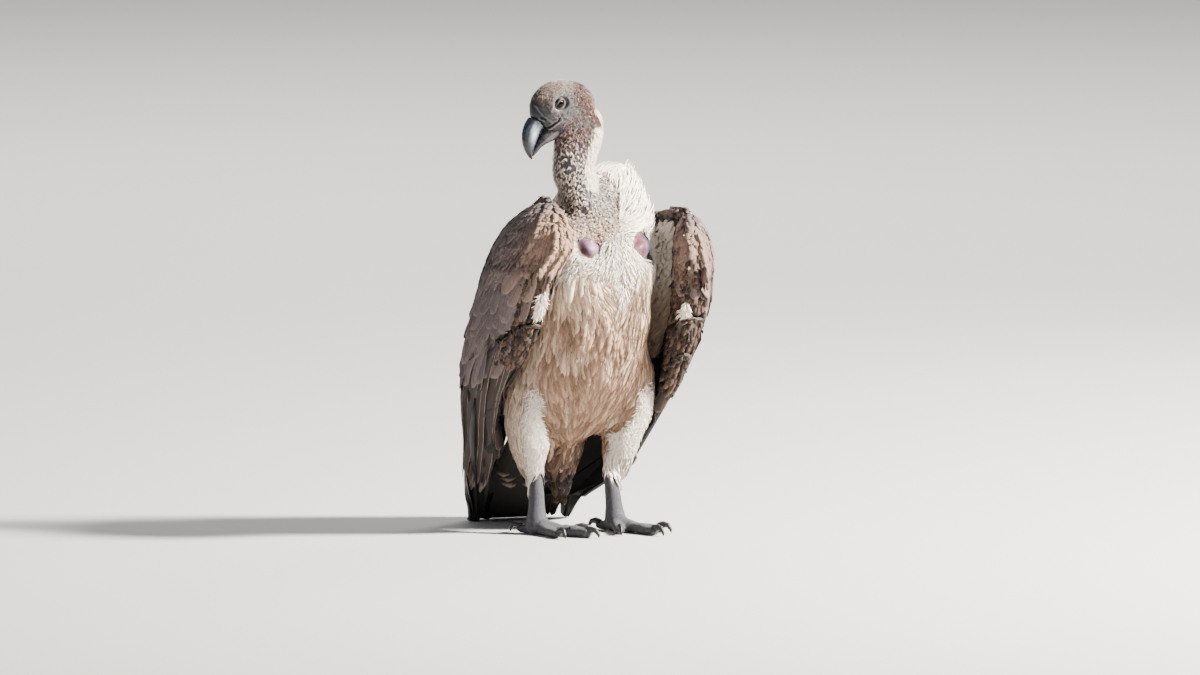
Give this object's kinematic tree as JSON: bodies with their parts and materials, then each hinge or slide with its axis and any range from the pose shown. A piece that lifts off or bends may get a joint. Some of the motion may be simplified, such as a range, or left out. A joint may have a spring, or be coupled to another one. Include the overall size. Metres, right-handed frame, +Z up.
{
  "type": "vulture model",
  "caption": "Life-size standing model of a white-backed vulture with drooped wings and turned head; it rests on its feet and tail as a display piece.",
  "frame": {"origin": "on the floor, at the middle of the bottom of the bird's box", "axes": "+Z is up, -Y is the way the body faces, and +X is the bird's left; the head is turned to its right, which is -X"},
  "size_m": [0.3511, 0.3955, 0.6546],
  "materials": {
    "face": "grey-brown bare skin with short hair-like down",
    "cere": "dull near-black skin over the base of the bill",
    "horn": "polished blackish horn",
    "eye": "wet dark brown eye",
    "neck": "dark skin under sparse buff down",
    "white_down": "soft creamy white down",
    "breast": "soft buff body feathers with paler shafts",
    "coverts": "grey-brown overlapping feathers with pale edges",
    "flight": "blackish flight feathers with a slight sheen",
    "scaly": "blue-grey scaly skin",
    "claw": "blackish horn, worn at the tip"
  },
  "bodies": {
    "root": {"head": "face", "cere": "cere", "bill_upper": "horn", "bill_lower": "horn", "eye_left": "eye", "eye_right": "eye", "neck_upper": "neck", "neck_lower": "neck", "ruff": "white_down", "trunk": "breast", "tail": "flight", "undertail": "breast", "thigh_left": "white_down", "tarsus_left": "scaly", "toe_left_inner": "scaly", "claw_left_inner": "claw", "toe_left_middle": "scaly", "claw_left_middle": "claw", "toe_left_outer": "scaly", "claw_left_outer": "claw", "toe_left_hind": "scaly", "claw_left_hind": "claw", "thigh_right": "white_down", "tarsus_right": "scaly", "toe_right_inner": "scaly", "claw_right_inner": "claw", "toe_right_middle": "scaly", "claw_right_middle": "claw", "toe_right_outer": "scaly", "claw_right_outer": "claw", "toe_right_hind": "scaly", "claw_right_hind": "claw", "wing_left_arm": "coverts", "wing_left_secondaries": "flight", "wing_left_primaries": "flight", "wing_right_arm": "coverts", "wing_right_secondaries": "flight", "wing_right_primaries": "flight"}
  },
  "joints": []
}
